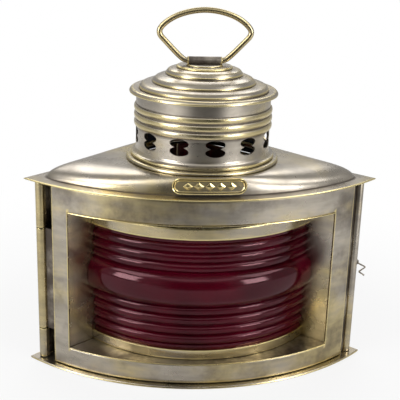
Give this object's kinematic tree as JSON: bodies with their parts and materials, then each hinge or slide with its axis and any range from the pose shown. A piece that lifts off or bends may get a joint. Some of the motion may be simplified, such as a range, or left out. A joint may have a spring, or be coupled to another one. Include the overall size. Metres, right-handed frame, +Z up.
{
  "type": "navigation lamp",
  "caption": "Quadrant-shaped brass side light with a hinged front holding a ribbed red lens, vented chimney with stepped cap, folding handle and an oil burner inside",
  "frame": {"origin": "on the underside, in the middle of the lamp's outline", "axes": "+Z up, the curved front with the lens faces -Y, +X to the right seen from the front"},
  "size_m": [0.25, 0.1628, 0.2569],
  "materials": {
    "antique_brass": "antiqued sheet brass, satin with grey-beige patina",
    "rubbed_brass": "rubbed brass, brighter at edges",
    "darkened_brass": "darkened brass in recesses",
    "pin_steel": "plain drawn pin stock",
    "ruby_glass": "deep ruby pressed glass, glossy",
    "wick_cotton": "woven flat cotton wick"
  },
  "bodies": {
    "body": {"base_plate": "antique_brass", "side_wall_left": "antique_brass", "side_wall_right": "antique_brass", "back_strip": "antique_brass", "door_stop_left": "darkened_brass", "door_stop_right": "darkened_brass", "hinge_leaf_body": "antique_brass", "hinge_pin": "pin_steel", "hood": "antique_brass", "name_plate": "rubbed_brass", "chimney_collar": "antique_brass", "chimney_neck": "antique_brass", "chimney_cap": "antique_brass", "handle_ferrule": "darkened_brass", "latch_peg": "pin_steel", "font_ring": "antique_brass"},
    "door": {"door_panel": "antique_brass", "hinge_leaf_door": "darkened_brass", "door_bead": "antique_brass", "lens": "ruby_glass", "lens_band_lower": "rubbed_brass", "lens_band_upper": "rubbed_brass", "reveal_left": "rubbed_brass", "reveal_right": "rubbed_brass", "window_sill": "rubbed_brass", "window_head": "rubbed_brass", "latch_pivot": "pin_steel"},
    "latch": {"latch_hook": "rubbed_brass"},
    "handle": {"handle": "rubbed_brass"},
    "font": {"oil_font": "antique_brass", "burner_collar": "antique_brass", "burner_cone": "rubbed_brass", "wick_tube": "antique_brass"},
    "filler_cap": {"filler_cap": "rubbed_brass"},
    "wick_drive": {"wick_shaft": "pin_steel", "wick_knob": "rubbed_brass"},
    "wick": {"wick": "wick_cotton"}
  },
  "joints": [
    {"name": "door_swing", "type": "hinge", "parent": "body", "child": "door", "pos_m": [-0.11392, -0.02828, 0.069], "axis": [0, 0, -1], "range_deg": [0, 150]},
    {"name": "latch_turn", "type": "hinge", "parent": "door", "child": "latch", "pos_m": [0.11713, -0.02507, 0.073], "axis": [0.7071, 0.7071, 0], "range_deg": [0, 120]},
    {"name": "handle_fold", "type": "hinge", "parent": "body", "child": "handle", "pos_m": [0, -0.01561, 0.22045], "axis": [1, 0, 0], "range_deg": [-95, 95]},
    {"name": "font_lift", "type": "slide", "parent": "body", "child": "font", "axis": [0, 0, 1], "range_m": [0, 0.012]},
    {"name": "filler_cap_turn", "type": "hinge", "parent": "font", "child": "filler_cap", "pos_m": [-0.0255, -0.01561, 0.0313], "axis": [0, 0, 1], "range_deg": [0, 720]},
    {"name": "wick_knob_turn", "type": "hinge", "parent": "font", "child": "wick_drive", "pos_m": [0, -0.02011, 0.0395], "axis": [1, 0, 0], "range_deg": [-90, 90]},
    {"name": "wick_rise", "type": "slide", "parent": "font", "child": "wick", "axis": [0, 0, 1], "range_m": [-0.0051, 0.0051]}
  ],
  "couplings": [
    {"joint": "wick_rise", "follows": "wick_knob_turn", "m_per_rad": 0.0032}
  ]
}
